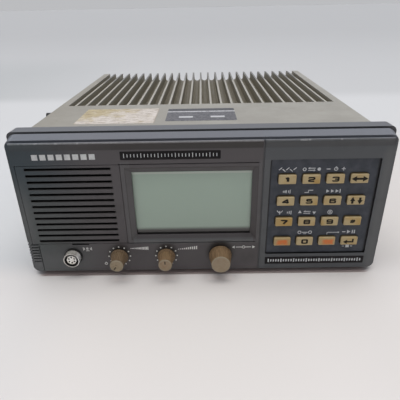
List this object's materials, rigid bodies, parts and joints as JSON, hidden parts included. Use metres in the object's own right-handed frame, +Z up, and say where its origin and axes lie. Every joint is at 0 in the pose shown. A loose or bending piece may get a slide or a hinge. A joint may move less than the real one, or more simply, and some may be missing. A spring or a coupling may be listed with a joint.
{
  "type": "marine radio transceiver",
  "caption": "Desktop marine radio: dark moulded panel with speaker slots, display window, keypad and turning knobs on a rear frame and a finned, painted heat-sink housing.",
  "frame": {"origin": "under the middle of the whole part, on the surface it stands on", "axes": "+X to the right of the face, +Y from the face to the back, +Z up"},
  "size_m": [0.2786, 0.3028, 0.1154],
  "materials": {
    "panel_plastic": "matte moulded, dark grey",
    "keypad_overlay": "matte, dark blue grey",
    "key_plastic": "satin, aged cream",
    "knob_plastic": "satin, dirty tan",
    "display_glass": "grey green, switched off",
    "display_carrier": "moulded, pale",
    "mat_rubber": "soft, pale grey",
    "board": "green laminate",
    "plated_metal": "dull nickel plate",
    "insert_plastic": "moulded, off white",
    "dark_plastic": "moulded, black",
    "steel": "zinc plated",
    "cone_paper": "pressed paper, black",
    "magnet": "ferrite",
    "seal_rubber": "soft, black",
    "frame_paint": "satin grey paint",
    "cast_paint": "warm grey paint on a casting",
    "black_paint": "black",
    "ferrite": "painted ring core",
    "brass": "tarnished"
  },
  "bodies": {
    "radio": {"front_panel": "panel_plastic", "speaker_grille": "panel_plastic", "keypad_plate": "keypad_overlay", "display_glass": "display_glass", "display_carrier": "display_carrier", "key_mat": "mat_rubber", "panel_board": "board", "main_board": "board", "amplifier_board": "board", "mic_socket_shell": "plated_metal", "mic_socket_nut": "plated_metal", "antenna_socket": "plated_metal", "coupler_socket": "plated_metal", "power_socket": "plated_metal", "socket_nuts": "plated_metal", "bushing_nuts": "plated_metal", "mic_socket_insert": "insert_plastic", "volume_pot": "dark_plastic", "gain_pot": "dark_plastic", "tuning_encoder": "dark_plastic", "socket_inserts": "dark_plastic", "amplifier_transistors": "dark_plastic", "machine_screws": "steel", "cover_screws": "steel", "frame_screws": "steel", "speaker_screws": "steel", "speaker_cone": "cone_paper", "speaker_magnet": "magnet", "panel_seal": "seal_rubber", "panel_frame": "frame_paint", "heatsink_housing": "cast_paint", "bottom_cover": "cast_paint", "rear_panel": "cast_paint", "side_bolt": "black_paint", "speaker_basket": "black_paint", "filter_coils": "ferrite", "ground_stud": "brass", "ground_nut": "brass"},
    "volume_control": {"volume_knob": "knob_plastic", "volume_shaft": "steel"},
    "gain_control": {"gain_knob": "knob_plastic", "gain_shaft": "steel"},
    "tuning_control": {"tuning_knob": "knob_plastic", "tuning_shaft": "steel"},
    "key_1_cap": {"key_1": "key_plastic"},
    "key_2_cap": {"key_2": "key_plastic"},
    "key_3_cap": {"key_3": "key_plastic"},
    "key_function_1_cap": {"key_function_1": "key_plastic"},
    "key_4_cap": {"key_4": "key_plastic"},
    "key_5_cap": {"key_5": "key_plastic"},
    "key_6_cap": {"key_6": "key_plastic"},
    "key_function_2_cap": {"key_function_2": "key_plastic"},
    "key_7_cap": {"key_7": "key_plastic"},
    "key_8_cap": {"key_8": "key_plastic"},
    "key_9_cap": {"key_9": "key_plastic"},
    "key_hash_cap": {"key_hash": "key_plastic"},
    "key_orange_left_cap": {"key_orange_left": "key_plastic"},
    "key_0_cap": {"key_0": "key_plastic"},
    "key_orange_right_cap": {"key_orange_right": "key_plastic"},
    "key_enter_cap": {"key_enter": "key_plastic"}
  },
  "joints": [
    {"name": "volume_turn", "type": "hinge", "parent": "radio", "child": "volume_control", "pos_m": [-0.0652, -0.1376, 0.0179], "axis": [0, 1, 0], "range_deg": [0, 300]},
    {"name": "gain_turn", "type": "hinge", "parent": "radio", "child": "gain_control", "pos_m": [-0.0283, -0.1376, 0.0179], "axis": [0, 1, 0], "range_deg": [-150, 150]},
    {"name": "tuning_turn", "type": "hinge", "parent": "radio", "child": "tuning_control", "pos_m": [0.0139, -0.1376, 0.0179], "axis": [0, 1, 0], "continuous": true},
    {"name": "key_1_press", "type": "slide", "parent": "radio", "child": "key_1_cap", "axis": [0, 1, 0], "range_m": [0, 0.0012], "stiffness_N_per_m": 500},
    {"name": "key_2_press", "type": "slide", "parent": "radio", "child": "key_2_cap", "axis": [0, 1, 0], "range_m": [0, 0.0012], "stiffness_N_per_m": 500},
    {"name": "key_3_press", "type": "slide", "parent": "radio", "child": "key_3_cap", "axis": [0, 1, 0], "range_m": [0, 0.0012], "stiffness_N_per_m": 500},
    {"name": "key_function_1_press", "type": "slide", "parent": "radio", "child": "key_function_1_cap", "axis": [0, 1, 0], "range_m": [0, 0.0012], "stiffness_N_per_m": 500},
    {"name": "key_4_press", "type": "slide", "parent": "radio", "child": "key_4_cap", "axis": [0, 1, 0], "range_m": [0, 0.0012], "stiffness_N_per_m": 500},
    {"name": "key_5_press", "type": "slide", "parent": "radio", "child": "key_5_cap", "axis": [0, 1, 0], "range_m": [0, 0.0012], "stiffness_N_per_m": 500},
    {"name": "key_6_press", "type": "slide", "parent": "radio", "child": "key_6_cap", "axis": [0, 1, 0], "range_m": [0, 0.0012], "stiffness_N_per_m": 500},
    {"name": "key_function_2_press", "type": "slide", "parent": "radio", "child": "key_function_2_cap", "axis": [0, 1, 0], "range_m": [0, 0.0012], "stiffness_N_per_m": 500},
    {"name": "key_7_press", "type": "slide", "parent": "radio", "child": "key_7_cap", "axis": [0, 1, 0], "range_m": [0, 0.0012], "stiffness_N_per_m": 500},
    {"name": "key_8_press", "type": "slide", "parent": "radio", "child": "key_8_cap", "axis": [0, 1, 0], "range_m": [0, 0.0012], "stiffness_N_per_m": 500},
    {"name": "key_9_press", "type": "slide", "parent": "radio", "child": "key_9_cap", "axis": [0, 1, 0], "range_m": [0, 0.0012], "stiffness_N_per_m": 500},
    {"name": "key_hash_press", "type": "slide", "parent": "radio", "child": "key_hash_cap", "axis": [0, 1, 0], "range_m": [0, 0.0012], "stiffness_N_per_m": 500},
    {"name": "key_orange_left_press", "type": "slide", "parent": "radio", "child": "key_orange_left_cap", "axis": [0, 1, 0], "range_m": [0, 0.0012], "stiffness_N_per_m": 500},
    {"name": "key_0_press", "type": "slide", "parent": "radio", "child": "key_0_cap", "axis": [0, 1, 0], "range_m": [0, 0.0012], "stiffness_N_per_m": 500},
    {"name": "key_orange_right_press", "type": "slide", "parent": "radio", "child": "key_orange_right_cap", "axis": [0, 1, 0], "range_m": [0, 0.0012], "stiffness_N_per_m": 500},
    {"name": "key_enter_press", "type": "slide", "parent": "radio", "child": "key_enter_cap", "axis": [0, 1, 0], "range_m": [0, 0.0012], "stiffness_N_per_m": 500}
  ]
}
